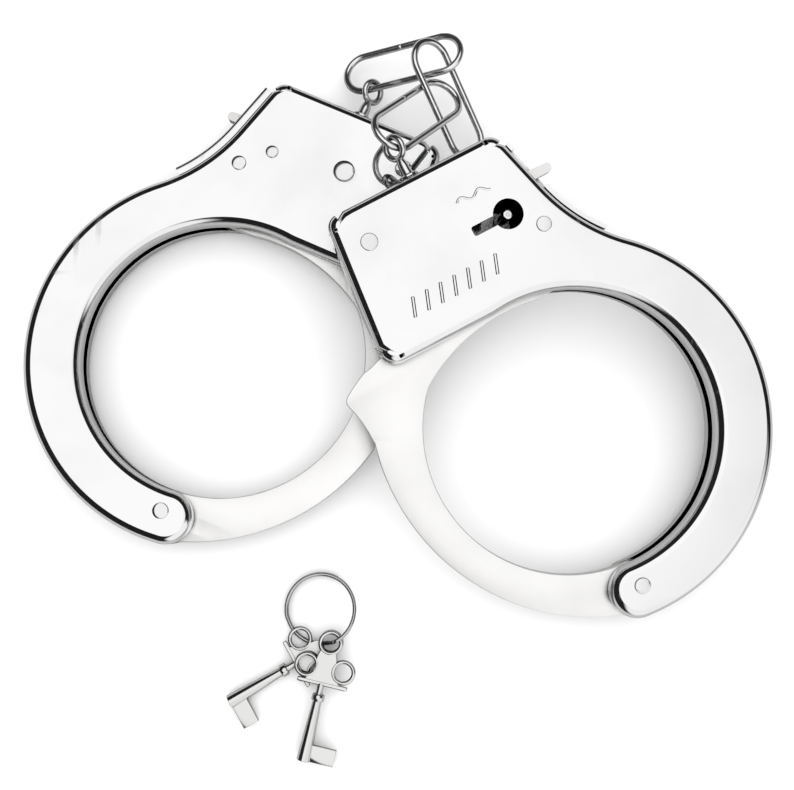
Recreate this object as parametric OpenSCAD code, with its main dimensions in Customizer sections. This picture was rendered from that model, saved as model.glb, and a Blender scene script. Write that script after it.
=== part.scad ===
// Pair of hand restraints: two cuffs with swing-through jaws, joined by swivel eyes
// and three plain wire links, with two hollow-barrel keys on a split ring.
//
// Units are millimetres and +Z is up. The origin lies on the resting plane, straight
// below the centre of the left cuff's wrist opening. The left cuff lies face down,
// the right cuff lies face up with its housing raised on the chain.
//
// Each cuff is drawn in its own frame: the wrist opening is centred near the origin,
// +Y runs from the opening to the housing, +Z leaves the face with the keyhole, and
// z = 0 is the middle of the jaw. The inset "e" means a distance in from the rim.

/* [Shell] */

// Thickness of a cuff over its two flat faces
cuff_t = 9.0; // [8.8:0.1:9.6]
// Sheet thickness of the pressed shells
sheet_t = 0.8; // [0.6:0.1:0.9]
// Clear slot between the two shells that the jaw passes through
jaw_gap = 2.2; // [2.0:0.1:2.4]
// Half width of the keyhole's slot for the key bit
keyhole_slot = 1.0; // [0.7:0.05:1.2]
// Height of the raised marks on the front face
mark_h = 0.2; // [0.1:0.05:0.3]

/* [Jaw and lock] */

// Thickness of the jaw and of the pawl
jaw_t = 1.8; // [1.4:0.1:1.8]
// Depth of the ratchet teeth
tooth_depth = 0.7; // [0.5:0.05:0.75]
// Number of ratchet teeth cut in the jaw
tooth_count = 17; // [8:1:17]
// Radius of the post that guides the hollow key
post_r = 0.95; // [0.8:0.05:0.95]
// Thickness of the leaf spring
leaf_t = 0.35; // [0.25:0.05:0.4]

/* [Rivets] */

// Height of a formed rivet head above the face
head_h = 0.35; // [0.2:0.05:0.4]
// Radial gap between a rivet and the shell hole around it
rivet_gap = 0.03; // [0.02:0.01:0.05]
// Radial gap of every turning fit
turn_gap = 0.05; // [0.03:0.01:0.1]

/* [Chain] */

// Radius of the link wire
wire_r = 0.7; // [0.5:0.05:0.7]
// Gap where the ends of a bent link meet
butt_gap = 0.12; // [0.05:0.01:0.3]
// Tube radius of the swivel eye
eye_wire_r = 0.7; // [0.5:0.05:0.7]

/* [Keys] */

// Outer radius of the key barrel at its open end
barrel_r = 1.4; // [1.25:0.05:1.4]
// Thickness of the key bow
bow_t = 0.8; // [0.6:0.05:0.8]
// Wire diameter of the split ring
ring_wire = 0.8; // [0.6:0.05:0.8]

/* [Output] */

// Which piece to draw

/* [Hidden] */

$fn = 96;
eps = 0.01;

// Where the two cuffs lie
left_yaw = -23.5;
right_yaw = 28.1;
right_tilt = 8;
half_t = cuff_t / 2;
centre = [-36.24, 5.995, 0];
left_at = [0, 0, half_t + head_h];
right_at = [72.3, -15.1, 10.234];

// Outline of a cuff
ring_r = 38.9;
open_c = [-0.7, 0];
open_r = 28.0;
neck_c = [50.6, 55.3];
neck_r = 36.0;
neck_a = 15.6;
top_y = 59;
bottom_y = 27.8;
end_c = [-4.1, -33.2];
end_r = 5.3;
face_z = half_t - sheet_t;
gap_z = jaw_gap / 2;

// Hardware places in a cuff
pivot = [-3.4, -32.3];
pivot_r = 1.3;
post_c = [7.0, 43.7];
stud_c = [-8.4, 45.8];
stud_r = 1.2;
corner_c = [-19.4, 51.2];
corner_r = 1.2;
cheek_c = [12.3, 38.8];
cheek_r = 1.0;
eye_x = -6.0;
stem_r = 1.5;
neck_stem_r = 1.2;

// Ratchet, measured about the jaw pivot
ratchet_r = 68.0;
tooth_step = 1.685;
tooth_first = 78.9;
pawl_lift = 3.4;

// Chain
link_r = 4.3;
link_l = 16.8;
eye_y = 65.8;
eye_r = 2.15;
left_eye_turn = 45.1;
right_eye_turn = -49.1;

// Keys and ring
bow_y = 23.3;
hook = [23.6, -57.3];
coil_r = 6.95;
coil_a = -71.3;

// ---------------------------------------------------------------- outline

function unit(v) = v / norm(v);

function about(c, r, a) = c + r * [cos(a), sin(a)];

// Points of an arc of radius r that rounds the corner a-p-b
function rounded(a, p, b, r) =
    let (
        u = unit(a - p),
        v = unit(b - p),
        h = acos(u * v) / 2,
        c = p + unit(u + v) * r / sin(h),
        m = unit(p + u * r / tan(h) - c),
        n = unit(p + v * r / tan(h) - c),
        w = acos(m * n)
    )
    [for (i = [0 : 4]) c + r * (sin((1 - i / 4) * w) * m + sin(i / 4 * w) * n) / sin(w)];

function side_x(y, e) = -25.0 + 0.0976 * (y - top_y) + 1.005 * e;

function neck_top(e) = neck_c - (neck_r + e) * [cos(neck_a), sin(neck_a)];

function top_right(e) =
    let (n = neck_top(e))
    [n[0] - 0.28 * (top_y - e - n[1]), top_y - e];

// Lock housing, up to where it runs into the ring
module housing(e) {
    low = bottom_y + e;
    start = [open_c[0], low];
    bl = [side_x(low, e), low];
    tl = [side_x(top_y - e, e), top_y - e];
    tr = top_right(e);
    nt = neck_top(e) + 0.3 * [cos(neck_a), sin(neck_a)] + 4 * [sin(neck_a), -cos(neck_a)];
    pt = (ring_r - e) * unit(neck_c);
    polygon(concat(
        [start],
        rounded(start, bl, tl, 3 - e),
        rounded(bl, tl, tr, 2 - e),
        rounded(tl, tr, nt, 2.5 - e),
        [nt, pt, [0, 0]]
    ));
}

// Half of the ring, from the jaw pivot round to the housing
module cheek(e) {
    intersection() {
        circle(r = ring_r - e);
        polygon([[0, 0], [-9.75, -79.4], [90, -79.4], [90, 60], [0, 60]]);
    }
}

module outline(e) {
    difference() {
        union() {
            cheek(e);
            translate(end_c)
                circle(r = end_r - e);
            housing(e);
        }
        translate(open_c)
            circle(r = open_r + e);
        translate(neck_c)
            circle(r = neck_r + e);
    }
}

// ---------------------------------------------------------------- shells

// Face and rolled side wall that both shells share
module shell_body() {
    translate([0, 0, face_z])
        linear_extrude(sheet_t)
            outline(0.6);
    translate([0, 0, gap_z])
        linear_extrude(face_z - gap_z + 0.3)
            difference() {
                outline(0);
                outline(sheet_t);
            }
    translate([0, 0, 0.05])
        linear_extrude(gap_z + 0.05)
            difference() {
                outline(0);
                outline(sheet_t);
                translate(pivot)
                    circle(r = 69.5);
            }
}

// Hole straight through one shell face
module face_hole(c, r) {
    translate([c[0], c[1], face_z - 1])
        cylinder(h = sheet_t + 2, r = r);
}

// Openings both shells share: rivets, swivel notch and lever slot
module shell_cuts() {
    face_hole(pivot, pivot_r + rivet_gap);
    face_hole(corner_c, corner_r + rivet_gap);
    face_hole(cheek_c, cheek_r + rivet_gap);
    translate([eye_x, top_y - 3, 0])
        rotate([-90, 0, 0])
            cylinder(h = 6, r = stem_r + 2 * turn_gap);
    translate([9, 45.7, -gap_z - 0.02])
        cube([16, 8.7, 2 * gap_z + 0.04]);
}

// Raised plain strokes and a small wave beside the keyhole
module marks() {
    z = half_t - 0.15;
    for (i = [0 : 6])
        translate([-17.6 + 3 * i, 36.2, z])
            rotate([0, 0, -20])
                translate([-0.45, -2.2, 0])
                    cube([0.9, 4.4, 0.15 + mark_h]);
    for (i = [0 : 3])
        translate([0.1 + 1.7 * i, 50.1, z])
            rotate([0, 0, i % 2 == 0 ? 35 : -35])
                translate([-1.1, -0.2, 0])
                    cube([2.2, 0.4, 0.15 + mark_h]);
}

module front_shell() {
    difference() {
        union() {
            shell_body();
            marks();
        }
        shell_cuts();
        face_hole(post_c, 3.0);
        translate([-0.8, post_c[1] - keyhole_slot, face_z - 1])
            cube([5.5, 2 * keyhole_slot, sheet_t + 2]);
    }
}

// Outer wall of the rear shell that wraps the neck, carried on a narrow web
module lip_area(outer, inner) {
    intersection() {
        difference() {
            outline(outer);
            outline(inner);
            translate(pivot)
                circle(r = 69.3);
        }
        translate([9, 30])
            square([20, 28]);
    }
}

module rear_shell() {
    difference() {
        union() {
            mirror([0, 0, 1])
                shell_body();
            translate([0, 0, 0.3 - face_z])
                linear_extrude(face_z + 0.7)
                    lip_area(-1.7, -0.9);
            translate([0, 0, 0.3 - face_z])
                linear_extrude(0.8)
                    lip_area(-1.7, 0.4);
        }
        mirror([0, 0, 1])
            shell_cuts();
        mirror([0, 0, 1])
            face_hole(post_c, post_r + rivet_gap);
        mirror([0, 0, 1])
            face_hole(stud_c, stud_r + rivet_gap);
    }
}

// ---------------------------------------------------------------- rivets

// Formed head that starts on the face and narrows outwards
module head(r, h) {
    translate([0, 0, half_t])
        cylinder(h = h, r1 = r, r2 = 0.7 * r);
}

// Rivet through both shells
module rivet(c, r, head_r) {
    translate([c[0], c[1], -half_t])
        cylinder(h = cuff_t, r = r);
    translate([c[0], c[1], 0]) {
        head(head_r, head_h);
        mirror([0, 0, 1])
            head(head_r, head_h);
    }
}

// Post for the hollow key, with a foot on the inside of the rear shell
module key_post() {
    translate([post_c[0], post_c[1], 0]) {
        translate([0, 0, -half_t])
            cylinder(h = 2 * half_t - 0.5, r = post_r);
        translate([0, 0, -face_z])
            cylinder(h = 0.7, r = 1.6);
        mirror([0, 0, 1])
            head(1.3, head_h);
    }
}

// Shouldered stud that carries the pawl, held by the rear shell only
module pawl_stud() {
    z = jaw_t / 2;
    translate([stud_c[0], stud_c[1], 0]) {
        translate([0, 0, -half_t])
            cylinder(h = half_t + z + 0.5, r = stud_r);
        translate([0, 0, -face_z])
            cylinder(h = face_z - z - 0.05, r = 2.1);
        translate([0, 0, z + 0.1])
            cylinder(h = 0.4, r = 1.7);
        mirror([0, 0, 1])
            head(2.2, 0.7);
    }
}

// ---------------------------------------------------------------- jaw

// Triangular gap between two ratchet teeth; its steep wall is at the lower angle
module tooth_gap(a, deep, slack) {
    polygon([
        about(pivot, ratchet_r - deep, a + slack),
        about(pivot, ratchet_r + 0.7, a + slack),
        about(pivot, ratchet_r + 0.7, a + tooth_step - slack),
        about(pivot, ratchet_r + 0.02, a + tooth_step - 0.1 - slack)
    ]);
}

// Toothed arm that runs into the housing
module jaw_arm() {
    difference() {
        intersection() {
            translate(pivot)
                circle(r = ratchet_r);
            polygon([[10.5, 20], [10.7, 40], [-25.8, 40], [-25.8, 20]]);
        }
        for (i = [0 : tooth_count - 1])
            tooth_gap(tooth_first + tooth_step * i, tooth_depth, 0);
    }
}

// Thumb rest that stands out of the jaw just outside the housing
module jaw_bump() {
    polygon([
        [-20, 31.2], [-25.8, 31.0], [-30.3, 29.8], [-32.0, 29.6], [-35.4, 27.7],
        [-37.3, 26.5], [-37.7, 25.8], [-36.9, 22.8], [-36.5, 19.0], [-36.6, 15.9],
        [-20, 15.9]
    ]);
}

module jaw_plan() {
    difference() {
        union() {
            intersection() {
                translate([6.5, 5.0])
                    circle(r = 44.4);
                polygon([[pivot[0], -50], [-50, -50], [-50, 16], [pivot[0], 16]]);
            }
            jaw_arm();
            jaw_bump();
            translate(pivot)
                circle(r = 4.1);
        }
        intersection() {
            translate([-0.9, 1.1])
                circle(r = 29.1);
            translate([-2, -9])
                circle(r = 36.2);
        }
        polygon([[4, 10], [4, 26.5], [12, 26.35], [12, 10]]);
        translate(pivot)
            circle(r = pivot_r + turn_gap);
    }
}

module jaw() {
    translate([0, 0, -jaw_t / 2])
        linear_extrude(jaw_t)
            jaw_plan();
}

// ---------------------------------------------------------------- pawl and spring

// Points along an arc round c, from angle a0 to a1
function bow_points(c, r, a0, a1, n) = [for (i = [0 : n]) about(c, r, a0 + (a1 - a0) * i / n)];

// One pawl tooth: slanted front, so it swings out of the ratchet without rubbing
function pawl_tooth(a) = [
    about(pivot, ratchet_r + 0.2, a + tooth_step - 0.17),
    about(pivot, ratchet_r + 0.04, a + tooth_step - 0.24),
    about(pivot, ratchet_r + 0.23 - tooth_depth, a + 0.31),
    about(pivot, ratchet_r + 0.2, a + 0.12)
];

// Pawl drawn with its teeth home in the ratchet
module pawl_plan() {
    difference() {
        polygon(concat(
            bow_points(stud_c, 3.0, 80, 290, 28),
            [[-2.8, 44.6]],
            bow_points(pivot, ratchet_r + 0.2, 89.5, 86.0, 4),
            pawl_tooth(tooth_first + 3 * tooth_step),
            pawl_tooth(tooth_first + 2 * tooth_step),
            pawl_tooth(tooth_first + tooth_step),
            [about(pivot, ratchet_r + 0.2, 80.0)],
            bow_points(pivot, 70.2, 80.2, 87.0, 8),
            [[0.2, 38.6], [0.2, 45.5], [4.5, 46.6], [12.5, 46.4]],
            bow_points([19.2, 47.0], 0.95, -90, 90, 12),
            [[12.5, 48.6], [8, 49.4], [0, 49.0]]
        ));
        translate(stud_c)
            circle(r = stud_r + turn_gap);
    }
}

// Pawl at rest, lifted just clear of the teeth
module pawl() {
    translate([stud_c[0], stud_c[1], -jaw_t / 2])
        rotate([0, 0, pawl_lift])
            translate([-stud_c[0], -stud_c[1], 0])
                linear_extrude(jaw_t)
                    pawl_plan();
}

// Leaf spring: a loop round the corner rivet and a leaf that presses on the pawl
module pawl_spring() {
    r = corner_r + turn_gap;
    y = corner_c[1] + r;
    translate([0, 0, -1.5])
        linear_extrude(3)
            difference() {
                union() {
                    translate(corner_c)
                        circle(r = r + leaf_t);
                    polygon([
                        [corner_c[0], y], [-10, 52.2], [-2, 51.0], [3.2, 50.15],
                        [3.4, 50.15 + leaf_t], [-2, 51.0 + leaf_t], [-10, 52.2 + leaf_t],
                        [corner_c[0], y + leaf_t]
                    ]);
                }
                translate(corner_c)
                    circle(r = r);
            }
}

// ---------------------------------------------------------------- swivel and links

// Swivel eye: head inside the housing, stem through the top wall, ring outside
module swivel_eye(turn) {
    translate([eye_x, 0, 0])
        rotate([0, turn, 0]) {
            translate([0, 55.8, 0])
                rotate([-90, 0, 0])
                    cylinder(h = 1.4, r = 3.0);
            translate([0, 56.5, 0])
                rotate([-90, 0, 0])
                    cylinder(h = 3, r = stem_r);
            translate([0, 59.3, 0])
                rotate([-90, 0, 0])
                    cylinder(h = 2.9, r = neck_stem_r);
            translate([0, 59.15, 0])
                rotate([-90, 0, 0])
                    cylinder(h = 0.8, r = 2.0);
            translate([0, 62.2, 0])
                rotate([-90, 0, 0])
                    cylinder(h = 1.5, r1 = neck_stem_r, r2 = 0.85);
            translate([0, eye_y, 0])
                rotate_extrude()
                    translate([eye_r, 0])
                        circle(r = eye_wire_r);
        }
}

// Wire link, long axis along X, with its butt joint in the middle of one side
module wire_link() {
    difference() {
        union() {
            for (s = [-1, 1]) {
                translate([s * link_l / 2, 0, 0])
                    rotate([0, 0, -90 * s])
                        rotate_extrude(angle = 180)
                            translate([link_r, 0])
                                circle(r = wire_r);
                translate([-link_l / 2, s * link_r, 0])
                    rotate([0, 90, 0])
                        cylinder(h = link_l, r = wire_r);
            }
        }
        translate([-butt_gap / 2, link_r - 2, -2])
            cube([butt_gap, 4, 4]);
    }
}

// Wire link at a place; turn 180 puts its butt joint on the other side
module link_at(place, angles, turn = 0) {
    translate(place + centre)
        rotate(angles)
            rotate([0, 0, turn])
                wire_link();
}

// ---------------------------------------------------------------- keys and ring

// Key along +Y from the open end of its barrel, bow in the XY plane
module key() {
    difference() {
        union() {
            rotate([-90, 0, 0])
                cylinder(h = 12.2, r1 = barrel_r, r2 = 0.85);
            translate([0, 11.9, 0])
                rotate([-90, 0, 0])
                    cylinder(h = 1.2, r = 1.25);
            translate([0, 12.5, 0])
                rotate([-90, 0, 0])
                    cylinder(h = 2.8, r = 0.7);
            translate([-4.9, 14.8, -bow_t / 2])
                cube([10.2, 0.8, bow_t]);
            translate([0, 0, -bow_t / 2])
                linear_extrude(bow_t)
                    key_bow();
            translate([0.9, 0, -0.5])
                cube([5.1, 3.3, 1.0]);
        }
        translate([0, -1, 0])
            rotate([-90, 0, 0])
                cylinder(h = 9, r = 1.0);
        translate([3.2, -1, -1])
            cube([0.8, 2.2, 2]);
    }
}

// Three joined rings that form the bow
module key_bow() {
    difference() {
        union() {
            for (x = [-3.75, 3.75])
                translate([x, 18.2])
                    circle(r = 2.3);
            translate([0, bow_y])
                circle(r = 2.3);
            polygon([
                [-3.2, 15.1], [3.2, 15.1], [3.0, 17.5],
                [1.0, 21.8], [-1.0, 21.8], [-3.0, 17.5]
            ]);
        }
        for (x = [-3.75, 3.75])
            translate([x, 18.2])
                circle(r = 1.65);
        translate([0, bow_y])
            circle(r = 1.65);
    }
}

// Eases from 0 to 1
function smooth(t) = t * t * (3 - 2 * t);

// Height of the coil's centreline at angle a; it passes through the key bows at coil_a
function coil_z(a) =
    let (low = ring_wire / 2, top = 3.55, mid = 1.5 * ring_wire + 0.05)
    a < 278 ? low
    : a < 299.4 ? low + (top - low) * smooth((a - 278) / 21.4)
    : a < 314 ? top
    : a < 420 ? top - (top - mid) * smooth((a - 314) / 106)
    : mid;

function coil_point(a) = [coil_r * cos(a), coil_r * sin(a), coil_z(a)];

// Split ring, one and a third turns of round wire
module key_ring() {
    first = 62;
    last = 556;
    n = 120;
    sides = 10;
    step = (last - first) / n;
    rings = [
        for (i = [0 : n])
            let (
                a = first + i * step,
                t = unit(coil_point(a + 0.5) - coil_point(a - 0.5)),
                u = [cos(a), sin(a), 0],
                w = cross(t, u)
            )
            [for (k = [0 : sides - 1])
                coil_point(a) + ring_wire / 2 * (cos(360 * k / sides) * u + sin(360 * k / sides) * w)]
    ];
    points = [for (r = rings) for (p = r) p];
    walls = [
        for (i = [0 : n - 1]) for (k = [0 : sides - 1])
            let (a = i * sides + k, b = i * sides + (k + 1) % sides)
            [a, b, b + sides, a + sides]
    ];
    caps = [
        [for (k = [sides - 1 : -1 : 0]) k],
        [for (k = [0 : sides - 1]) n * sides + k]
    ];
    translate([hook[0], hook[1], 0] + centre)
        translate(-coil_r * [cos(coil_a), sin(coil_a), 0])
            polyhedron(points = points, faces = concat(walls, caps), convexity = 6);
}

// Key hung on the ring: bow hole at the hook point, bow height z, barrel end raised by tip
module hung_key(turn, z, tip) {
    translate([hook[0], hook[1], z] + centre)
        rotate([0, 0, turn])
            rotate([-tip, 0, 0])
                translate([0, -bow_y, 0])
                    key();
}

// ---------------------------------------------------------------- placement

module place_left() {
    translate(left_at + centre)
        rotate([0, 0, left_yaw])
            rotate([0, 180, 0])
                children();
}

module place_right() {
    translate(right_at + centre)
        rotate([right_tilt, 0, right_yaw])
            children();
}

nickel = [0.86, 0.86, 0.88];
satin = [0.80, 0.80, 0.79];
bright = [0.75, 0.75, 0.77];
dull = [0.55, 0.55, 0.56];

module left_front_shell() { color(nickel) place_left() front_shell(); }
module left_rear_shell() { color(nickel) place_left() rear_shell(); }
module left_jaw() { color(satin) place_left() jaw(); }
module left_jaw_rivet() { color(bright) place_left() rivet(pivot, pivot_r, 1.6); }
module left_corner_rivet() { color(bright) place_left() rivet(corner_c, corner_r, 1.7); }
module left_cheek_rivet() { color(bright) place_left() rivet(cheek_c, cheek_r, 1.5); }
module left_key_post() { color(bright) place_left() key_post(); }
module left_pawl_stud() { color(bright) place_left() pawl_stud(); }
module left_pawl() { color(dull) place_left() pawl(); }
module left_pawl_spring() { color(dull) place_left() pawl_spring(); }
module left_swivel_eye() { color(bright) place_left() swivel_eye(left_eye_turn); }

module right_front_shell() { color(nickel) place_right() front_shell(); }
module right_rear_shell() { color(nickel) place_right() rear_shell(); }
module right_jaw() { color(satin) place_right() jaw(); }
module right_jaw_rivet() { color(bright) place_right() rivet(pivot, pivot_r, 1.6); }
module right_corner_rivet() { color(bright) place_right() rivet(corner_c, corner_r, 1.7); }
module right_cheek_rivet() { color(bright) place_right() rivet(cheek_c, cheek_r, 1.5); }
module right_key_post() { color(bright) place_right() key_post(); }
module right_pawl_stud() { color(bright) place_right() pawl_stud(); }
module right_pawl() { color(dull) place_right() pawl(); }
module right_pawl_spring() { color(dull) place_right() pawl_spring(); }
module right_swivel_eye() { color(bright) place_right() swivel_eye(right_eye_turn); }

module chain_link_a() { color(bright) link_at([38.12, 63.49, 6.58], [-10.8, -17.1, 6.7]); }
module chain_link_b() { color(bright) link_at([47.69, 54.31, 8.94], [-28.4, 19.8, -62.5], 180); }
module chain_link_c() { color(bright) link_at([41.18, 48.97, 14.07], [-7.1, -31.7, -132.7], 180); }

module key_one() { color(bright) hung_key(-13.1, 2.62, -1.3); }
module key_two() { color(bright) hung_key(-60.1, 1.25, 0.37); }

left_front_shell();
left_rear_shell();
left_jaw();
left_jaw_rivet();
left_corner_rivet();
left_cheek_rivet();
left_key_post();
left_pawl_stud();
left_pawl();
left_pawl_spring();
left_swivel_eye();
chain_link_a();
chain_link_b();
chain_link_c();
right_front_shell();
right_rear_shell();
right_jaw();
right_jaw_rivet();
right_corner_rivet();
right_cheek_rivet();
right_key_post();
right_pawl_stud();
right_pawl();
right_pawl_spring();
right_swivel_eye();
key_ring();
key_one();
key_two();
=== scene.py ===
"""Looks for a pair of hand restraints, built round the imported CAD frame.

Two nickel-plated cuffs on a short wire chain, with two keys on a split ring. Shapes are
built here as meshes, in millimetres in each cuff's own frame, and then placed. They keep
close to the CAD part's plan dimensions, and comments name the main differences. The pawls
and springs are the CAD pieces themselves. Each piece rides on the CAD body it belongs to.
"""
import math

import bmesh
import bpy
import numpy as np
from mathutils import Matrix, Vector
from mathutils.geometry import delaunay_2d_cdt


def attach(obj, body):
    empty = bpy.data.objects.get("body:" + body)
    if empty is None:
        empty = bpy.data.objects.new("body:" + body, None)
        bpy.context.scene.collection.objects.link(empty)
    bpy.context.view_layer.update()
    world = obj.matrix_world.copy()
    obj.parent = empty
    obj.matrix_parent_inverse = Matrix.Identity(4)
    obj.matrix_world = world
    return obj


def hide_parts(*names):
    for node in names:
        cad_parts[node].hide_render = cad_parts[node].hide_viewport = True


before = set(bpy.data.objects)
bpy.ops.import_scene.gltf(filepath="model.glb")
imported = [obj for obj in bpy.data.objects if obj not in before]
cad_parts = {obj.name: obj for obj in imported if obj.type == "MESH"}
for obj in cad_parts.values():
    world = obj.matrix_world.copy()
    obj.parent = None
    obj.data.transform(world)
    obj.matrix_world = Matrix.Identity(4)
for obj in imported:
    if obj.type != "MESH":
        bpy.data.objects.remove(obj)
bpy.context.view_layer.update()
MM = 0.001


def deg(a):
    return math.radians(a)


def turn(angle, axis):
    return Matrix.Rotation(deg(angle), 4, axis)


# CENTRE moves everything so that the origin is the middle of the whole set.
CENTRE = Vector((-36.24, 5.995, 0))
LEFT = Matrix.Translation((0, 0, 4.85)) @ turn(-23.5, "Z") @ turn(180, "Y")
RIGHT = Matrix.Translation((72.3, -15.1, 10.234)) @ turn(28.1, "Z") @ turn(8, "X")
PLACE = {"left": LEFT, "right": RIGHT}

# ------------------------------------------------------------------ mesh helpers


def build(name, parts, place, body, mat, nodes=(), sharp=32, bevel=0.0):
    """Joins (verts, faces) parts in mm into one placed object and ties it to the frame."""
    verts, faces = [], []
    for vs, fs in parts:
        base = len(verts)
        verts += [tuple((place @ Vector(v) + CENTRE) * MM) for v in vs]
        faces += [tuple(base + i for i in f) for f in fs]
    me = bpy.data.meshes.new(name)
    me.from_pydata(verts, [], faces)
    bm = bmesh.new()
    bm.from_mesh(me)
    bmesh.ops.remove_doubles(bm, verts=bm.verts, dist=2e-7)
    bmesh.ops.recalc_face_normals(bm, faces=bm.faces)
    bm.to_mesh(me)
    bm.free()
    for p in me.polygons:
        p.use_smooth = True
    me.set_sharp_from_angle(angle=deg(sharp))
    ob = bpy.data.objects.new(name, me)
    bpy.context.scene.collection.objects.link(ob)
    if bevel:
        mod = ob.modifiers.new("edge", "BEVEL")
        mod.width = bevel * MM
        mod.segments = 2
        mod.limit_method = "ANGLE"
        mod.angle_limit = deg(50)
        mod.harden_normals = False
    me.materials.append(mat)
    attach(ob, body)
    if nodes:
        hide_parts(*nodes)
    return ob


def lathe(profile, at=(0, 0, 0), seg=64, axis="Z"):
    """Turns (radius, height) points round an axis; the ends close on the axis."""
    verts, faces = [], []
    for r, z in profile:
        for k in range(seg):
            a = 2 * math.pi * k / seg
            verts.append((r * math.cos(a), r * math.sin(a), z))
    n = len(profile)
    for i in range(n - 1):
        for k in range(seg):
            a, b = i * seg + k, i * seg + (k + 1) % seg
            faces.append((a, b, b + seg, a + seg))
    faces.append(tuple(range(seg))[::-1])
    faces.append(tuple((n - 1) * seg + k for k in range(seg)))
    if axis == "Y":
        verts = [(x, z, -y) for x, y, z in verts]
    return [(x + at[0], y + at[1], z + at[2]) for x, y, z in verts], faces


def tube(path, radius, sides=20, closed=False, flat=1.0, up=None):
    """Sweeps a round (or flattened) section along a path, with rounded closed ends."""
    pts = [Vector(p) for p in path]
    n = len(pts)
    if closed:
        tans = [(pts[(i + 1) % n] - pts[i - 1]).normalized() for i in range(n)]
    else:
        tans = [(pts[min(i + 1, n - 1)] - pts[max(i - 1, 0)]).normalized() for i in range(n)]
    ref = Vector(up) if up else Vector((0, 0, 1))
    if abs(ref.dot(tans[0])) > 0.95:
        ref = Vector((1, 0, 0))
    u = (ref - tans[0] * ref.dot(tans[0])).normalized()
    rings = []
    for i in range(n):
        u = (u - tans[i] * u.dot(tans[i])).normalized()
        w = tans[i].cross(u)
        rings.append((pts[i], u.copy(), w, radius, tans[i]))
    if not closed:
        cap = []
        for t in (0.35, 0.7, 0.93):
            cap.append((t, math.sqrt(1 - t * t)))
        p, u0, w0, _, t0 = rings[0]
        head = [(p - t0 * 0.35 * radius * s, u0, w0, radius * c, t0) for s, c in reversed(cap)]
        p, u1, w1, _, t1 = rings[-1]
        tail = [(p + t1 * 0.35 * radius * s, u1, w1, radius * c, t1) for s, c in cap]
        rings = head + rings + tail
    verts, faces = [], []
    for p, a, b, r, _ in rings:
        for k in range(sides):
            c = 2 * math.pi * k / sides
            verts.append(tuple(p + r * (flat * math.cos(c) * a + math.sin(c) * b)))
    m = len(rings)
    for i in range(m if closed else m - 1):
        for k in range(sides):
            a, b = i * sides + k, i * sides + (k + 1) % sides
            c, d = (b + sides) % (m * sides), (a + sides) % (m * sides)
            faces.append((a, b, c, d))
    if not closed:
        faces.append(tuple(range(sides))[::-1])
        faces.append(tuple((m - 1) * sides + k for k in range(sides)))
    return verts, faces


def plate(loops, z0, z1, edge):
    """Flat plate with rounded edges: the first loop is the outline, the rest are holes."""
    cu = bpy.data.curves.new("plan", "CURVE")
    cu.dimensions = "2D"
    cu.fill_mode = "BOTH"
    cu.extrude = (z1 - z0) / 2 - edge
    cu.bevel_depth = edge
    cu.bevel_resolution = 2
    cu.offset = -edge
    for loop in loops:
        sp = cu.splines.new("POLY")
        sp.points.add(len(loop) - 1)
        for p, q in zip(sp.points, loop):
            p.co = (q[0], q[1], 0, 1)
        sp.use_cyclic_u = True
    ob = bpy.data.objects.new("plan", cu)
    bpy.context.scene.collection.objects.link(ob)
    bpy.context.view_layer.update()
    me = bpy.data.meshes.new_from_object(ob)
    mid = (z0 + z1) / 2
    verts = [(v.co.x, v.co.y, v.co.z + mid) for v in me.vertices]
    faces = [tuple(p.vertices) for p in me.polygons]
    bpy.data.objects.remove(ob)
    bpy.data.curves.remove(cu)
    bpy.data.meshes.remove(me)
    return verts, faces


def arc(c, r, a0, a1, n):
    """n + 1 points of an arc from angle a0 to a1, in degrees."""
    angles = [deg(a0 + (a1 - a0) * i / n) for i in range(n + 1)]
    return [(c[0] + r * math.cos(a), c[1] + r * math.sin(a)) for a in angles]


# ------------------------------------------------------------------ cuff outline

HALF = 4.5
SHEET = 0.8
GAP = 1.1
BEND = 2.0
RING_R = 38.9
OPEN_C = np.array((-0.7, 0.0))
OPEN_R = 28.0
NECK_C = np.array((50.6, 55.3))
# 0.06 more than in the CAD, so that the neck runs smoothly into the ring
NECK_R = 36.06
NECK_A = 15.6
NECK_B = 47.54
END_A = -97
RIGHT_SLOPE = 0.2792
TOP = 59.0
LOW = 27.8
PIVOT = np.array((-3.4, -32.3))
POST = (7.0, 43.7)
STUD = (-8.4, 45.8)
CORNER = (-19.4, 51.2)
CHEEK = (12.3, 38.8)
EYE_X = -6.0
NOTCH = 1.6
# The jaw's way through the side wall lies within JAW_WAY of its pivot.
JAW_WAY = 69.5
# The lever's slot runs from LEVER_LOW to LEVER_TOP. In the rear shell's outer lip it starts
# at LIP_LOW, 0.6 lower than in the CAD, to clear the lever at its lower limit.
LEVER_LOW = 45.7
LEVER_TOP = 54.4
LIP_LOW = 45.1
JAW_HALF = 0.9
WIRE_R = 0.7
EYE_R = 2.15
EYE_Y = 65.8
EYE_WIRE_R = 0.63


def cis(a):
    return np.array((math.cos(deg(a)), math.sin(deg(a))))


def side_x(y, e):
    return -25.0 + 0.0976 * (y - TOP) + 1.005 * e


def neck_top(e):
    return NECK_C - (NECK_R + e) * cis(NECK_A)


def corner_pt(a, p, b, r, t):
    """Point at t (0 to 1) of the rounding of corner a-p-b."""
    u, v = a - p, b - p
    u, v = u / np.linalg.norm(u), v / np.linalg.norm(v)
    h = math.acos(float(u @ v)) / 2
    m = u + v
    c = p + m / np.linalg.norm(m) * r / math.sin(h)
    s, f = p + u * r / math.tan(h) - c, p + v * r / math.tan(h) - c
    w = math.pi - 2 * h
    return c + (math.sin((1 - t) * w) * s + math.sin(t * w) * f) / math.sin(w)


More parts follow.
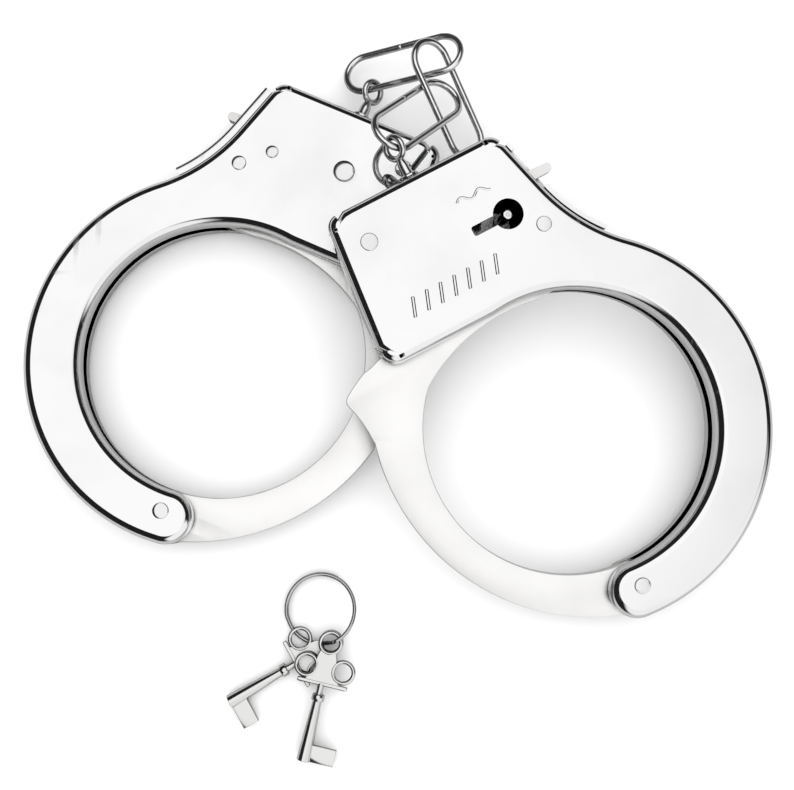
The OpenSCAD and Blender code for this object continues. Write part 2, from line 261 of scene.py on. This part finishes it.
def rim(seg, t, e):
    """Point at t along one segment of the outline, inset by e."""
    low = LOW + e
    start = np.array((OPEN_C[0] - math.sqrt((OPEN_R + e) ** 2 - low ** 2), low))
    bl = np.array((side_x(low, e), low))
    tl = np.array((side_x(TOP - e, e), TOP - e))
    nt = neck_top(e)
    tr = np.array((nt[0] - RIGHT_SLOPE * (TOP - e - nt[1]), TOP - e))
    radii = {"bl": max(3.4 - e, 0.4), "tl": max(2.8 - e, 0.4), "tr": max(3.0 - e, 0.4)}
    corners = {"bl": (start, bl, tl), "tl": (bl, tl, tr), "tr": (tl, tr, nt)}
    if seg in corners:
        return corner_pt(*corners[seg], radii[seg], t)

    def end(name, side):
        return corner_pt(*corners[name], radii[name], side)

    if seg == "opening":
        a0 = math.degrees(math.acos((start[0] - OPEN_C[0]) / (OPEN_R + e)))
        return OPEN_C + (OPEN_R + e) * cis(a0 + (END_A - a0) * t)
    if seg == "end":
        a, b = OPEN_C + (OPEN_R + e) * cis(END_A), (RING_R - e) * cis(END_A)
        c, u = (a + b) / 2, (b - a) / 2
        v = np.array((u[1], -u[0]))
        return c - u * math.cos(math.pi * t) + v * math.sin(math.pi * t)
    if seg == "ring":
        return (RING_R - e) * cis(END_A + (NECK_B - END_A) * t)
    if seg == "neck":
        return NECK_C - (NECK_R + e) * cis(NECK_B + (NECK_A - NECK_B) * t)
    a, b = {
        "right": (nt, end("tr", 1)),
        "top": (end("tr", 0), end("tl", 1)),
        "left": (end("tl", 0), end("bl", 1)),
        "bottom": (end("bl", 0), start),
    }[seg]
    return a + (b - a) * t


def rim_samples():
    """(segment, t) round the whole outline, with extra samples where the wall changes."""
    counts = [
        ("opening", 110), ("end", 28), ("ring", 120), ("neck", 36), ("right", 14),
        ("tr", 10), ("top", 24), ("tl", 10), ("left", 26), ("bl", 10), ("bottom", 16),
    ]
    out = []
    for seg, n in counts:
        out += [(seg, i / n) for i in range(n)]
    tests = [
        ("neck", lambda p: np.linalg.norm(p - PIVOT) - JAW_WAY),
        ("left", lambda p: np.linalg.norm(p - PIVOT) - JAW_WAY),
        ("neck", lambda p: p[1] - LEVER_LOW),
        ("right", lambda p: p[1] - LEVER_LOW),
        ("right", lambda p: p[1] - LEVER_TOP),
        ("neck", lambda p: p[1] - LIP_LOW),
        ("right", lambda p: p[1] - LIP_LOW),
    ]
    tests += [("top", lambda p, x=x: p[0] - EYE_X - x) for x in NOTCH_X]
    for seg, f in tests:
        lo, hi = 0.0, 1.0
        if f(rim(seg, lo, 0)) * f(rim(seg, hi, 0)) > 0:
            continue
        for _ in range(40):
            mid = (lo + hi) / 2
            if f(rim(seg, lo, 0)) * f(rim(seg, mid, 0)) <= 0:
                hi = mid
            else:
                lo = mid
        out.append((seg, (lo + hi) / 2))
    order = {s: i for i, (s, _) in enumerate(counts)}
    out.sort(key=lambda q: (order[q[0]], q[1]))
    kept = [out[0]]
    for q in out[1:]:
        if np.linalg.norm(rim(*q, 0) - rim(*kept[-1], 0)) > 0.02:
            kept.append(q)
    return kept


NOTCH_STEPS = (0.4, 0.8, 1.05, 1.162, 1.3, 1.45, 1.55, 1.6)
NOTCH_X = [s * x for s in (-1, 1) for x in NOTCH_STEPS] + [0.0]
SAMPLES = rim_samples()
COUNT = len(SAMPLES)


def loop_at(e):
    return [rim(seg, t, e) for seg, t in SAMPLES]


RIM0 = loop_at(0)


def notch_z(p):
    d = abs(p[0] - EYE_X)
    return math.sqrt(max(NOTCH ** 2 - d * d, 0)) if p[1] > TOP - 0.5 else 0.0


def closed_between(i):
    """True where the side wall runs down to the middle between samples i and i + 1."""
    p = (RIM0[i] + RIM0[(i + 1) % COUNT]) / 2
    if np.linalg.norm(p - PIVOT) < JAW_WAY or notch_z(p) > GAP:
        return False
    return not (p[0] > 9 and LEVER_LOW < p[1] < LEVER_TOP)


# ------------------------------------------------------------------ shells


def keyhole():
    """Round keyhole with a slot to its left."""
    pts = arc(POST, 3.0, -160.53, 160.53, 60)
    x0, h = -0.8, 1.0
    pts += [(x0 + 0.5, POST[1] + h)]
    pts += arc((x0 + 0.5, POST[1] + h - 0.5), 0.5, 90, 180, 4)[1:]
    pts += arc((x0 + 0.5, POST[1] - h + 0.5), 0.5, 180, 270, 4)
    return pts


def inside(p, loop):
    """True where point p is inside a closed loop."""
    hit = False
    for a, b in zip(loop, loop[1:] + loop[:1]):
        if (a[1] > p[1]) != (b[1] > p[1]):
            if p[0] < a[0] + (b[0] - a[0]) * (p[1] - a[1]) / (b[1] - a[1]):
                hit = not hit
    return hit


def fill(verts, ids, edges, hole):
    """Triangles that fill a flat face inside its edges, less the hole."""
    flat = [Vector(verts[i][:2]) for i in ids]
    pts, _, tris, back, _, _ = delaunay_2d_cdt(flat, edges, [], 1, 1e-6)
    out = []
    for tri in tris:
        mid = sum((pts[k] for k in tri), Vector((0, 0))) / len(tri)
        if not (hole and inside(mid, hole)):
            out.append(tuple(ids[back[k][0]] for k in tri))
    return out


def shell(flip, hole=None):
    """Pressed shell as one closed skin: rolled side wall, face and optional keyhole."""
    steps = 12
    outer = [(0.0, None), (0.0, HALF - BEND)]
    inner = [(SHEET, None), (SHEET, HALF - BEND)]
    for k in range(1, steps + 1):
        a = math.pi / 2 * k / steps
        outer.append((BEND - BEND * math.cos(a), HALF - BEND + BEND * math.sin(a)))
        b = BEND - SHEET
        inner.append((BEND - b * math.cos(a), HALF - BEND + b * math.sin(a)))
    base = [max(GAP, notch_z(p)) for p in RIM0]
    low = [max(0.05, notch_z(p)) for p in RIM0]
    verts, faces = [], []

    def column(e, z):
        first = len(verts)
        for i, p in enumerate(loop_at(e)):
            verts.append((p[0], p[1], z[i] if isinstance(z, list) else z))
        return first

    outs = [column(e, base if z is None else z) for e, z in outer]
    inns = [column(e, base if z is None else z) for e, z in inner]
    lo_out, lo_in = column(0.0, low), column(SHEET, low)
    nxt = [(i + 1) % COUNT for i in range(COUNT)]
    for rows in (outs, inns):
        for a, b in zip(rows, rows[1:]):
            faces += [(a + i, a + nxt[i], b + nxt[i], b + i) for i in range(COUNT)]
    shut = [closed_between(i) for i in range(COUNT)]
    for i in range(COUNT):
        j = nxt[i]
        if shut[i]:
            faces.append((lo_out + i, lo_out + j, outs[0] + j, outs[0] + i))
            faces.append((lo_in + i, lo_in + j, inns[0] + j, inns[0] + i))
            faces.append((lo_out + i, lo_out + j, lo_in + j, lo_in + i))
        else:
            faces.append((outs[0] + i, outs[0] + j, inns[0] + j, inns[0] + i))
        if shut[i] != shut[i - 1] and base[i] - low[i] > 0.01:
            faces.append((lo_out + i, outs[0] + i, inns[0] + i, lo_in + i))
    hole_rows = []
    for rows, z in ((outs, HALF), (inns, HALF - SHEET)):
        ids = [rows[-1] + i for i in range(COUNT)]
        edges = [(i, nxt[i]) for i in range(COUNT)]
        if hole:
            first, n = len(verts), len(hole)
            verts.extend((x, y, z) for x, y in hole)
            ids += [first + k for k in range(n)]
            edges += [(COUNT + k, COUNT + (k + 1) % n) for k in range(n)]
            hole_rows.append(first)
        faces += fill(verts, ids, edges, hole)
    used = sorted({i for f in faces for i in f})
    where = {v: k for k, v in enumerate(used)}
    s = -1 if flip else 1
    return (
        [(verts[v][0], verts[v][1], s * verts[v][2]) for v in used],
        [tuple(where[i] for i in f) for f in faces],
    )


def lip():
    """Outer wall of the rear shell along the neck: an L strip with a slot for the lever."""
    ids = [
        i for i in range(COUNT)
        if SAMPLES[i][0] in ("ring", "neck", "right") and RIM0[i][0] > 9
        and np.linalg.norm(RIM0[i] - PIVOT) > 69.3 and 30.5 < RIM0[i][1] < 58.0
    ]
    bend = [(-1.7 + 0.6 * (1 - math.cos(a)), -3.4 + 0.6 * (1 - math.sin(a)))
            for a in (math.pi / 2 * k / 5 for k in range(5, -1, -1))]
    foot = [(0.4, -2.6), (0.4, -3.4)] + bend
    heel = [(-0.9, -2.7), (-0.8, -2.6)]
    verts, faces = [], []
    section = len(foot) + 4 + len(heel)

    def add(i, top):
        ring = foot + [(-1.7, -GAP), (-1.7, top)] + [(-0.9, top), (-0.9, -GAP)] + heel
        for e, z in ring:
            p = rim(*SAMPLES[i], e)
            verts.append((p[0], p[1], z))

    last = None
    for a, b in zip(ids, ids[1:]):
        p = (RIM0[a] + RIM0[b]) / 2
        top = -GAP + 0.01 if LIP_LOW < p[1] < LEVER_TOP else 1.0
        start = len(verts)
        add(a, top)
        add(b, top)
        for k in range(section):
            m = (k + 1) % section
            faces.append((start + k, start + m, start + section + m, start + section + k))
        if last is None:
            faces.append(tuple(start + k for k in range(section)))
        elif abs(last - top) > 0.1:
            n = len(foot)
            high, at = (start, n) if top > last else (start - section, n)
            faces.append(tuple(high + at + k for k in range(4)))
        last = top
    faces.append(tuple(len(verts) - section + k for k in range(section)))
    return verts, faces


def marks():
    """Raised plain strokes and a small wave on the face, as half-round ridges."""
    parts = []
    z = HALF - 0.02
    for i in range(7):
        c = Vector((-17.6 + 3 * i, 36.2, z))
        d = Vector((-math.sin(deg(-20)), math.cos(deg(-20)), 0)) * 1.95
        path = [c - d + 2 * d * k / 8 for k in range(9)]
        parts.append(tube(path, 0.36, 12, flat=0.6, up=(0, 0, 1)))
    path = []
    for k in range(41):
        s = k / 40
        path.append((-0.9 + 7.0 * s, 50.1 + 0.55 * math.sin(2 * math.pi * 1.75 * s), z))
    parts.append(tube(path, 0.26, 12, flat=0.7, up=(0, 0, 1)))
    return parts


# ------------------------------------------------------------------ hardware


def dome(r, h, z, s):
    """Half of a rivet head profile, from the rim in to the axis, on face z towards s."""
    return [(r, z), (r, z + s * 0.45 * h), (0.93 * r, z + s * 0.78 * h),
            (0.74 * r, z + s * 0.96 * h), (0.35 * r, z + s * h), (0.02, z + s * h)]


def rivet(c, r, head_r, h=0.35):
    low = dome(head_r, h, -HALF, -1)[::-1]
    top = dome(head_r, h, HALF, 1)
    return lathe(low + [(r, -HALF), (r, HALF)] + top, (c[0], c[1], 0))


def key_post():
    low = dome(1.3, 0.35, -HALF, -1)[::-1]
    body = [(0.95, -HALF), (0.95, -3.7), (1.6, -3.7), (1.6, -3.1), (1.5, -3.0), (0.95, -3.0)]
    tip = [(0.95, 3.75), (0.88, 3.92), (0.7, 4.0), (0.4, 4.0), (0.3, 3.85), (0.02, 3.8)]
    return lathe(low + body + tip, (POST[0], POST[1], 0))


def pawl_stud():
    low = dome(2.2, 0.7, -HALF, -1)[::-1]
    body = [(1.2, -HALF), (1.2, -3.7), (2.1, -3.7), (2.1, -0.95), (1.2, -0.95), (1.2, 1.0)]
    tip = [(1.7, 1.0), (1.7, 1.3), (1.5, 1.4), (0.02, 1.4)]
    return lathe(low + body + tip, (STUD[0], STUD[1], 0))


def swivel_eye(angle):
    """Stem with its inner head and collar along Y, and the wire ring at its end.

    The ring's wire and the end of the stem are thinner than in the CAD, where the wire has
    radius 0.7, so that the next link's mesh clears them at its limit.
    """
    stem = [
        (0.02, 55.8), (2.7, 55.8), (3.0, 56.0), (3.0, 57.0), (2.8, 57.2), (1.5, 57.25),
        (1.5, 59.15), (1.9, 59.2), (2.0, 59.35), (2.0, 59.7), (1.85, 59.9), (1.25, 60.05),
        (1.12, 60.8), (1.1, 61.6), (1.02, 62.2), (0.88, 62.9), (0.72, 63.4), (0.02, 63.65),
    ]
    ring = [(EYE_R * math.cos(a), EYE_Y + EYE_R * math.sin(a), 0)
            for a in (2 * math.pi * k / 64 for k in range(64))]
    parts = [lathe(stem, axis="Y", seg=40), tube(ring, EYE_WIRE_R, 24, closed=True)]
    spin = turn(angle, "Y")
    out = []
    for vs, fs in parts:
        moved = [spin @ Vector(v) for v in vs]
        out.append(([(v.x + EYE_X, v.y, v.z) for v in moved], fs))
    return out


def link(side=1):
    """Long wire link whose ends meet in a fine butt joint on the side given by its sign.

    The joint is 0.14 wide, where the CAD has 0.12.
    """
    half, r, gap = 8.4, 4.3, 0.07
    path = [(gap, r, 0)]
    path += [(x, r, 0) for x in np.linspace(0.5, half, 12)]
    path += [(half + r * math.cos(deg(a)), r * math.sin(deg(a)), 0)
             for a in np.linspace(84, -84, 29)]
    path += [(x, -r, 0) for x in np.linspace(half, -half, 22)]
    path += [(-half - r * math.cos(deg(a)), r * math.sin(deg(a)), 0)
             for a in np.linspace(-84, 84, 29)]
    path += [(x, r, 0) for x in np.linspace(-half, -0.5, 12)] + [(-gap, r, 0)]
    return tube([(side * x, side * y, z) for x, y, z in path], WIRE_R, 24)


def jaw_parts():
    """Flat jaw: toothed arm, thumb bump, curved body and the eye round its pivot."""
    outline = []
    first, step, count = 78.9, 1.685, 17
    tip_r, root_r = 67.98, 67.3
    px, py = PIVOT
    outline.append((10.45, 26.4))
    outline.append((10.66, 34.2))
    for k in range(count):
        a = first + step * k
        for r, turned in ((tip_r, 0), (root_r, 0.05), (tip_r, 1.55)):
            b = deg(a + turned)
            outline.append((px + r * math.cos(b), py + r * math.sin(b)))
    bump = [(-25.8, 31.0), (-28.4, 30.4), (-30.3, 29.8), (-32.0, 29.5), (-33.9, 28.6),
            (-35.6, 27.7), (-36.9, 26.9), (-37.5, 26.3), (-37.7, 25.6), (-37.5, 24.6),
            (-37.0, 22.9), (-36.7, 20.9), (-36.5, 19.0), (-36.5, 17.4)]
    outline += bump
    c = (6.5, 5.0)
    a0, a1 = 165.2, 258.0
    outline += arc(c, 44.4, a0, a1, 70)
    outline += arc((px, py), 4.1, -72, 74, 20)
    o1, r1, o2, r2 = (-0.9, 1.1), 29.1, (-2.0, -9.0), 36.2
    inner = [p for p in arc(o1, r1, 266, 90, 90) if math.dist(p, o2) < r2]
    inner += [p for p in arc(o2, r2, 150, 60, 90) if math.dist(p, o1) < r1 and p[0] < 4.5]
    outline += inner
    bore = arc((px, py), 1.35, 0, 360, 24)[:-1]
    return plate([outline, bore], -JAW_HALF, JAW_HALF, 0.14)


# ------------------------------------------------------------------ keys and ring

HOOK = (23.6, -57.3)
BOW_Y = 23.3
COIL_R = 6.95
COIL_A = -71.3


def key_parts():
    """Hollow barrel, bar, bow rings, web and bit.

    The bow rings are a little larger than in the CAD, and the bit has no notch.
    """
    parts = []
    wall = [(1.0, 0.0), (1.0, 7.0), (0.02, 7.2)]
    skin = [(1.05, 0.0), (1.32, 0.0), (1.4, 0.1), (1.36, 1.4), (1.22, 4.5), (1.06, 8.0),
            (0.9, 11.2), (0.88, 11.7), (1.15, 11.8), (1.27, 12.0), (1.27, 12.8), (1.15, 13.05),
            (0.75, 13.15), (0.68, 13.6), (0.68, 14.6), (0.62, 15.2), (0.02, 15.3)]
    parts.append(lathe(wall[::-1] + skin, axis="Y", seg=40))
    bar = [(-4.9, 14.85), (-4.4, 14.75), (0, 14.85), (4.6, 14.75), (5.3, 14.85), (5.3, 15.5),
           (4.6, 15.6), (0, 15.55), (-4.4, 15.6), (-4.9, 15.5)]
    parts.append(plate([bar], -0.42, 0.42, 0.16))
    for c in ((-3.75, 18.2), (3.75, 18.2), (0, BOW_Y)):
        ring = [(c[0] + 2.1 * math.cos(a), c[1] + 2.1 * math.sin(a), 0)
                for a in (2 * math.pi * k / 48 for k in range(48))]
        parts.append(tube(ring, 0.42, 16, closed=True, up=(0, 0, 1)))
    half = [(3.6, 15.4), (3.0, 16.3), (2.3, 17.2), (2.0, 18.2), (2.15, 19.2), (2.0, 20.4),
            (1.5, 21.9)]
    web = half + [(0, 21.3)] + [(-x, y) for x, y in reversed(half)]
    parts.append(plate([web], -0.36, 0.36, 0.14))
    bit = [(1.15, 0.05), (6.0, 0.05), (6.0, 3.3), (1.1, 3.3)]
    parts.append(plate([bit], -0.5, 0.5, 0.1))
    return parts


def hung(angle, z, tip):
    return (Matrix.Translation((HOOK[0], HOOK[1], z)) @ turn(angle, "Z") @ turn(-tip, "X")
            @ Matrix.Translation((0, -BOW_Y, 0)))


def coil_z(a):
    """Height of the wire at an angle: it rises through the key bows, then comes down."""
    low, high, mid = 0.4, 3.55, 1.25
    rise, crest, drop, rest = 278, 299.4, 314, 420

    def smooth(t):
        return t * t * (3 - 2 * t)

    if a < rise:
        return low
    if a < crest:
        return low + (high - low) * smooth((a - rise) / (crest - rise))
    if a < drop:
        return high
    if a < rest:
        return high - (high - mid) * smooth((a - drop) / (rest - drop))
    return mid


def split_ring():
    cx = HOOK[0] - COIL_R * math.cos(deg(COIL_A))
    cy = HOOK[1] - COIL_R * math.sin(deg(COIL_A))
    path = [(cx + COIL_R * math.cos(deg(a)), cy + COIL_R * math.sin(deg(a)), coil_z(a))
            for a in np.linspace(62, 556, 240)]
    return tube(path, 0.39, 16)


# ------------------------------------------------------------------ materials


def metal(name, colour, rough, grain=0.0, scratch=0.25, blotch=0.05, bump=0.05):
    """Plated or brushed metal with smudges, fine scratches and a faint uneven surface.

    Places that other surfaces close in on get painted shade: the base colour is darkened there.
    """
    mat = bpy.data.materials.new(name)
    mat.use_nodes = True
    nt = mat.node_tree
    nt.nodes.clear()
    out = nt.nodes.new("ShaderNodeOutputMaterial")
    bsdf = nt.nodes.new("ShaderNodeBsdfPrincipled")
    nt.links.new(bsdf.outputs[0], out.inputs[0])
    bsdf.inputs["Metallic"].default_value = 1.0
    coord = nt.nodes.new("ShaderNodeTexCoord")

    def noise(size, detail=3.0, stretch=None):
        node = nt.nodes.new("ShaderNodeTexNoise")
        node.inputs["Scale"].default_value = size
        node.inputs["Detail"].default_value = detail
        if stretch:
            mapping = nt.nodes.new("ShaderNodeMapping")
            mapping.inputs["Scale"].default_value = stretch
            mapping.inputs["Rotation"].default_value = (0, 0, deg(23))
            nt.links.new(coord.outputs["Object"], mapping.inputs[0])
            nt.links.new(mapping.outputs[0], node.inputs["Vector"])
        else:
            nt.links.new(coord.outputs["Object"], node.inputs["Vector"])
        return node

    def ramp(src, lo, hi, a, b):
        node = nt.nodes.new("ShaderNodeMapRange")
        node.inputs["From Min"].default_value = lo
        node.inputs["From Max"].default_value = hi
        node.inputs["To Min"].default_value = a
        node.inputs["To Max"].default_value = b
        nt.links.new(src, node.inputs["Value"])
        return node.outputs["Result"]

    def math_node(op, a, b):
        node = nt.nodes.new("ShaderNodeMath")
        node.operation = op
        for k, v in enumerate((a, b)):
            if isinstance(v, (int, float)):
                node.inputs[k].default_value = v
            else:
                nt.links.new(v, node.inputs[k])
        return node.outputs[0]

    smudge = noise(60, 4.0)
    lines_a = noise(500, 2.0, (1.0, 0.025, 1.0))
    lines_b = noise(420, 2.0, (0.03, 1.0, 1.0))
    fine = math_node("MULTIPLY", ramp(lines_a.outputs[0], 0.63, 0.72, 0, 1),
                     ramp(smudge.outputs[0], 0.45, 0.65, 0, 1))
    fine_b = math_node("MULTIPLY", ramp(lines_b.outputs[0], 0.65, 0.74, 0, 1),
                       ramp(smudge.outputs[0], 0.55, 0.4, 0, 1))
    lines = math_node("MAXIMUM", fine, fine_b)
    r0 = ramp(smudge.outputs[0], 0.35, 0.7, rough - blotch / 2, rough + blotch / 2)
    r1 = math_node("ADD", r0, math_node("MULTIPLY", lines, scratch))
    nt.links.new(r1, bsdf.inputs["Roughness"])
    tint = nt.nodes.new("ShaderNodeMix")
    tint.data_type = "RGBA"
    tint.inputs["A"].default_value = (*colour, 1)
    tint.inputs["B"].default_value = (*[c * 0.9 for c in colour], 1)
    nt.links.new(ramp(smudge.outputs[0], 0.45, 0.75, 0.0, 0.7), tint.inputs["Factor"])
    # Painted shade: where the ambient-occlusion node finds surfaces within 12 mm, the base colour
    # is mixed towards near black.
    shut_in = nt.nodes.new("ShaderNodeAmbientOcclusion")
    shut_in.inputs["Distance"].default_value = 0.012
    shut_in.samples = 4
    nt.links.new(tint.outputs["Result"], shut_in.inputs["Color"])
    painted_shade = nt.nodes.new("ShaderNodeMix")
    painted_shade.data_type = "RGBA"
    painted_shade.inputs["A"].default_value = (*[c * 0.04 for c in colour], 1)
    nt.links.new(tint.outputs["Result"], painted_shade.inputs["B"])
    nt.links.new(ramp(shut_in.outputs["AO"], 0.25, 0.6, 0.0, 1.0), painted_shade.inputs["Factor"])
    nt.links.new(painted_shade.outputs["Result"], bsdf.inputs["Base Color"])
    bumper = nt.nodes.new("ShaderNodeBump")
    bumper.inputs["Strength"].default_value = bump
    bumper.inputs["Distance"].default_value = 0.0002
    height = math_node("SUBTRACT", noise(90, 2.0).outputs[0], math_node("MULTIPLY", lines, 0.3))
    if grain:
        streak = noise(900, 2.0, (1.0, 0.06, 1.0))
        height = math_node("ADD", height, math_node("MULTIPLY", streak.outputs[0], grain))
    nt.links.new(height, bumper.inputs["Height"])
    nt.links.new(bumper.outputs[0], bsdf.inputs["Normal"])
    return mat


NICKEL = metal("nickel_plate", (0.90, 0.90, 0.905), 0.05, scratch=0.18, blotch=0.03, bump=0.04)
SATIN = metal("satin_steel", (0.93, 0.925, 0.915), 0.32, grain=0.5, scratch=0.1, bump=0.12)
HEADS = metal("rivet_steel", (0.82, 0.82, 0.82), 0.12, scratch=0.25, blotch=0.1, bump=0.45)
LOCK = metal("lock_steel", (0.78, 0.77, 0.76), 0.22, grain=0.3, scratch=0.2, bump=0.15)
WIRE = metal("chain_wire", (0.84, 0.84, 0.85), 0.17, grain=0.2, scratch=0.2, blotch=0.06, bump=0.12)
KEYS = metal("key_metal", (0.76, 0.76, 0.75), 0.11, scratch=0.25, blotch=0.08, bump=0.25)
RING = metal("ring_wire", (0.55, 0.55, 0.56), 0.08, scratch=0.2, blotch=0.05, bump=0.1)

# ------------------------------------------------------------------ pieces

LEFT_EYE, RIGHT_EYE = 45.1, -49.1
LINKS = [
    ("a", (38.12, 63.49, 6.58), (-10.8, -17.1, 6.7), 1),
    ("b", (47.69, 54.31, 8.94), (-28.4, 19.8, -62.5), -1),
    ("c", (41.18, 48.97, 14.07), (-7.1, -31.7, -132.7), -1),
]

hole = keyhole()
for side in ("left", "right"):
    place = PLACE[side]
    body = side + "_frame"
    front = [shell(False, hole)] + marks()
    build(side + "_front_shell_look", front, place, body, NICKEL,
          [side + "_front_shell"], bevel=0.07)
    build(side + "_rear_shell_look", [shell(True), lip()], place, body, NICKEL,
          [side + "_rear_shell"], bevel=0.07)
    build(side + "_jaw_look", [jaw_parts()], place, side + "_jaw", SATIN,
          [side + "_jaw"])
    hardware = [("_jaw_rivet", rivet(PIVOT, 1.3, 1.6)), ("_corner_rivet", rivet(CORNER, 1.2, 1.7)),
                ("_cheek_rivet", rivet(CHEEK, 1.0, 1.5)), ("_key_post", key_post()),
                ("_pawl_stud", pawl_stud())]
    for kind, shape in hardware:
        build(side + kind + "_look", [shape], place, body, HEADS, [side + kind])
    build(side + "_swivel_eye_look", swivel_eye(LEFT_EYE if side == "left" else RIGHT_EYE), place,
          side + "_swivel", WIRE, [side + "_swivel_eye"])
    for part in ("_pawl", "_pawl_spring"):
        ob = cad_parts[side + part]
        ob.data.materials.clear()
        ob.data.materials.append(LOCK)
        mod = ob.modifiers.new("edge", "BEVEL")
        mod.width = 0.12 * MM
        mod.segments = 2
        mod.limit_method = "ANGLE"
        mod.angle_limit = deg(40)

for letter, at, (ax, ay, az), butt_side in LINKS:
    place = Matrix.Translation(at) @ turn(az, "Z") @ turn(ay, "Y") @ turn(ax, "X")
    build("chain_link_%s_look" % letter, [link(butt_side)], place, "link_" + letter,
          WIRE, ["chain_link_" + letter])

build("key_ring_look", [split_ring()], Matrix.Identity(4), "key_ring", RING,
      ["key_ring"])
build("key_one_look", key_parts(), hung(-13.1, 2.62, -1.3), "key_one", KEYS,
      ["key_one"])
build("key_two_look", key_parts(), hung(-60.1, 1.25, 0.37), "key_two", KEYS,
      ["key_two"])

# ------------------------------------------------------------------ stage, light, camera

GLOSS = 1.06
DOME = 1.5
ABOVE = Vector((0.12, 0.07, 0.985)).normalized()
WINDOW = Vector((0.5, -0.72, 0.42)).normalized()

me = bpy.data.meshes.new("floor")
bm = bmesh.new()
bmesh.ops.create_grid(bm, x_segments=1, y_segments=1, size=3.0)
bm.to_mesh(me)
bm.free()
floor = bpy.data.objects.new("floor", me)
bpy.context.scene.collection.objects.link(floor)
floor.location = (0, 0, -0.0001)
paper = bpy.data.materials.new("paper")
paper.use_nodes = True
nt = paper.node_tree
base = nt.nodes["Principled BSDF"]
base.inputs["Roughness"].default_value = 0.9
# Painted shade: the floor's colour drops to grey for glossy rays only, so the metal reflects a
# darker floor than the camera sees.
path = nt.nodes.new("ShaderNodeLightPath")
shade = nt.nodes.new("ShaderNodeMix")
shade.data_type = "RGBA"
shade.inputs["A"].default_value = (0.93, 0.93, 0.93, 1)
shade.inputs["B"].default_value = (0.42, 0.42, 0.415, 1)
nt.links.new(path.outputs["Is Glossy Ray"], shade.inputs["Factor"])
nt.links.new(shade.outputs["Result"], base.inputs["Base Color"])
me.materials.append(paper)

world = bpy.data.worlds.new("studio")
bpy.context.scene.world = world
world.use_nodes = True
nt = world.node_tree
nt.nodes.clear()
coord = nt.nodes.new("ShaderNodeTexCoord")
split = nt.nodes.new("ShaderNodeSeparateXYZ")
nt.links.new(coord.outputs["Generated"], split.inputs[0])


def towards(direction):
    """Cosine of the angle between a ray and a fixed direction."""
    node = nt.nodes.new("ShaderNodeVectorMath")
    node.operation = "DOT_PRODUCT"
    node.inputs[1].default_value = direction
    nt.links.new(coord.outputs["Generated"], node.inputs[0])
    return node.outputs["Value"]


def fade(source, lo, hi, a, b):
    node = nt.nodes.new("ShaderNodeMapRange")
    node.interpolation_type = "SMOOTHSTEP"
    for key, v in (("From Min", lo), ("From Max", hi), ("To Min", a), ("To Max", b)):
        node.inputs[key].default_value = v
    nt.links.new(source, node.inputs["Value"])
    return node.outputs["Result"]


def combine(op, one, two):
    node = nt.nodes.new("ShaderNodeMath")
    node.operation = op
    nt.links.new(one, node.inputs[0])
    nt.links.new(two, node.inputs[1])
    return node.outputs[0]


def background(grey, strength):
    node = nt.nodes.new("ShaderNodeBackground")
    nt.links.new(grey, node.inputs["Color"])
    node.inputs["Strength"].default_value = strength
    return node.outputs[0]


# Mirror surfaces see a bright ceiling, one window and a pale horizon in a dark room.
# Everything else is lit by an even dome, as in a light tent.
ceiling = combine("MULTIPLY", fade(towards(ABOVE), 0.825, 0.845, 0.012, 1.0),
                  fade(split.outputs["X"], 0.2, 0.6, 1.0, 0.86))
window = fade(towards(WINDOW), 0.72, 0.86, 0.0, 0.9)
horizon = fade(split.outputs["Z"], 0.02, 0.08, 0.35, 0.012)
mirror = background(combine("MAXIMUM", combine("MAXIMUM", ceiling, window), horizon), GLOSS)
tent = background(fade(split.outputs["Z"], 0.0, 0.8, 0.7, 1.0), DOME)
path = nt.nodes.new("ShaderNodeLightPath")
mix = nt.nodes.new("ShaderNodeMixShader")
nt.links.new(path.outputs["Is Glossy Ray"], mix.inputs[0])
nt.links.new(tent, mix.inputs[1])
nt.links.new(mirror, mix.inputs[2])
out = nt.nodes.new("ShaderNodeOutputWorld")
nt.links.new(mix.outputs[0], out.inputs[0])

cam = bpy.data.cameras.new("camera")
cam.lens = 43.2
cam.sensor_width = 36.0
cam.clip_start = 0.01
cam_ob = bpy.data.objects.new("camera", cam)
bpy.context.scene.collection.objects.link(cam_ob)
eye = (Vector((36.9, -32.6, 198.65)) + CENTRE) * MM
look = (Vector((36.9, -6.8, 0.35)) + CENTRE) * MM
cam_ob.location = eye
cam_ob.rotation_euler = (look - eye).to_track_quat("-Z", "Y").to_euler()
bpy.context.scene.camera = cam_ob
bpy.context.scene.view_settings.view_transform = "Standard"
